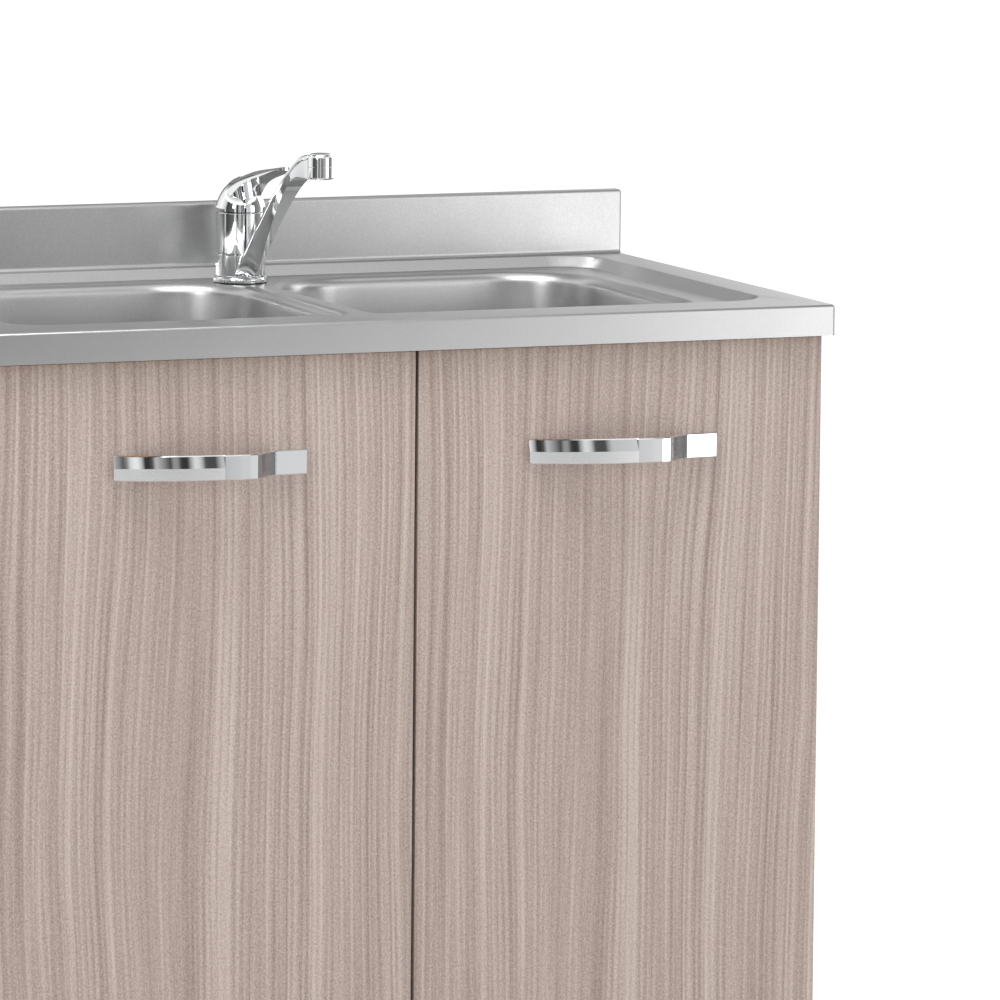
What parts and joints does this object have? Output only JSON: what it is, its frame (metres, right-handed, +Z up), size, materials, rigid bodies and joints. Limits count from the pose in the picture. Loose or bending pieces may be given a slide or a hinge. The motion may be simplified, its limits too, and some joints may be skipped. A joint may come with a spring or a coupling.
{
  "type": "kitchen sink unit",
  "caption": "Two-door kitchen base cabinet in pale wood-effect laminate with a pressed steel double-bowl sink top, rear upstand and a chrome single lever mixer.",
  "frame": {"origin": "on the floor under the middle of the whole unit, handles included", "axes": "+X to the right seen from the front, +Y from the doors to the wall, +Z up"},
  "size_m": [0.804, 0.52, 0.977],
  "materials": {
    "sheet_steel": "satin rolled stainless sheet",
    "polished_steel": "polished stainless",
    "chrome": "bright chrome plate",
    "laminate": "greyish wood-effect melamine on chipboard",
    "carcass_board": "white melamine on chipboard",
    "chipboard": "raw chipboard",
    "black_rubber": "soft black rubber",
    "white_plastic": "white polypropylene",
    "dark_plastic": "black moulded plastic",
    "plated_steel": "nickel-plated steel",
    "brass": "turned brass"
  },
  "bodies": {
    "unit": {"bottom_board": "carcass_board", "cartridge_housing": "white_plastic", "cartridge_nut": "brass", "drain_tee": "white_plastic", "fixing_brackets": "plated_steel", "front_rail": "carcass_board", "left_bowl": "sheet_steel", "left_hinge_arms": "plated_steel", "left_side_board": "carcass_board", "left_strainer": "polished_steel", "left_waste_body": "white_plastic", "left_waste_elbow": "white_plastic", "leg_sockets": "dark_plastic", "leg_tubes": "dark_plastic", "mixer_base_ring": "chrome", "mixer_body": "chrome", "mixer_clamp_plate": "plated_steel", "mixer_seal": "black_rubber", "mixer_stud": "plated_steel", "outlet_pipe": "white_plastic", "packing_frame": "chipboard", "plinth_board": "laminate", "plinth_clips": "dark_plastic", "rear_bottom_rail": "carcass_board", "rear_top_rail": "carcass_board", "right_bowl": "sheet_steel", "right_hinge_arms": "plated_steel", "right_side_board": "carcass_board", "right_strainer": "polished_steel", "right_waste_body": "white_plastic", "right_waste_elbow": "white_plastic", "sink_deck": "sheet_steel", "trap_cup": "white_plastic", "trap_head": "white_plastic", "union_nuts": "white_plastic", "waste_screws": "polished_steel", "waste_seals": "black_rubber"},
    "left_hinge_link": {"left_hinge_links": "plated_steel"},
    "right_hinge_link": {"right_hinge_links": "plated_steel"},
    "left_door_leaf": {"left_door": "laminate", "left_handle": "chrome", "left_handle_screws": "plated_steel", "left_hinge_cups": "plated_steel"},
    "right_door_leaf": {"right_door": "laminate", "right_handle": "chrome", "right_handle_screws": "plated_steel", "right_hinge_cups": "plated_steel"},
    "spout": {"swivel_spout": "chrome", "aerator_housing": "chrome", "aerator_insert": "white_plastic"},
    "lever_turntable": {"cartridge_carrier": "dark_plastic"},
    "lever_casting": {"lever": "chrome", "lever_spindle": "plated_steel", "lever_grub_screw": "plated_steel"},
    "left_basket": {"left_basket_plug": "polished_steel"},
    "right_basket": {"right_basket_plug": "polished_steel"},
    "foot_front_left": {"front_left_foot": "dark_plastic"},
    "foot_front_right": {"front_right_foot": "dark_plastic"},
    "foot_rear_left": {"rear_left_foot": "dark_plastic"},
    "foot_rear_right": {"rear_right_foot": "dark_plastic"}
  },
  "joints": [
    {"name": "left_link_hinge", "type": "hinge", "parent": "unit", "child": "left_hinge_link", "pos_m": [-0.355, -0.203, 0.4625], "axis": [0, 0, 1], "range_deg": [0, 22.8]},
    {"name": "left_door_hinge", "type": "hinge", "parent": "left_hinge_link", "child": "left_door_leaf", "pos_m": [-0.384, -0.214, 0.4625], "axis": [0, 0, -1], "range_deg": [0, 127.8]},
    {"name": "right_link_hinge", "type": "hinge", "parent": "unit", "child": "right_hinge_link", "pos_m": [0.355, -0.203, 0.4625], "axis": [0, 0, -1], "range_deg": [0, 22.8]},
    {"name": "right_door_hinge", "type": "hinge", "parent": "right_hinge_link", "child": "right_door_leaf", "pos_m": [0.384, -0.214, 0.4625], "axis": [0, 0, 1], "range_deg": [0, 127.8]},
    {"name": "spout_swivel", "type": "hinge", "parent": "unit", "child": "spout", "pos_m": [-0.006, 0.194, 0.857], "axis": [0, 0, 1], "range_deg": [-100, 100]},
    {"name": "lever_turn", "type": "hinge", "parent": "unit", "child": "lever_turntable", "pos_m": [-0.006, 0.194, 0.908], "axis": [0, 0, 1], "range_deg": [-45, 45]},
    {"name": "lever_lift", "type": "hinge", "parent": "lever_turntable", "child": "lever_casting", "pos_m": [-0.006, 0.194, 0.916], "axis": [-1, 0, 0], "range_deg": [0, 20]},
    {"name": "left_basket_lift", "type": "slide", "parent": "unit", "child": "left_basket", "axis": [0, 0, 1], "range_m": [0, 0.03]},
    {"name": "right_basket_lift", "type": "slide", "parent": "unit", "child": "right_basket", "axis": [0, 0, 1], "range_m": [0, 0.03]},
    {"name": "foot_front_left_height", "type": "slide", "parent": "unit", "child": "foot_front_left", "axis": [0, 0, -1], "range_m": [0, 0.015]},
    {"name": "foot_front_right_height", "type": "slide", "parent": "unit", "child": "foot_front_right", "axis": [0, 0, -1], "range_m": [0, 0.015]},
    {"name": "foot_rear_left_height", "type": "slide", "parent": "unit", "child": "foot_rear_left", "axis": [0, 0, -1], "range_m": [0, 0.015]},
    {"name": "foot_rear_right_height", "type": "slide", "parent": "unit", "child": "foot_rear_right", "axis": [0, 0, -1], "range_m": [0, 0.015]}
  ],
  "couplings": [
    {"joint": "left_link_hinge", "follows": "left_door_hinge", "ratio": 0.1784},
    {"joint": "right_link_hinge", "follows": "right_door_hinge", "ratio": 0.1784}
  ]
}
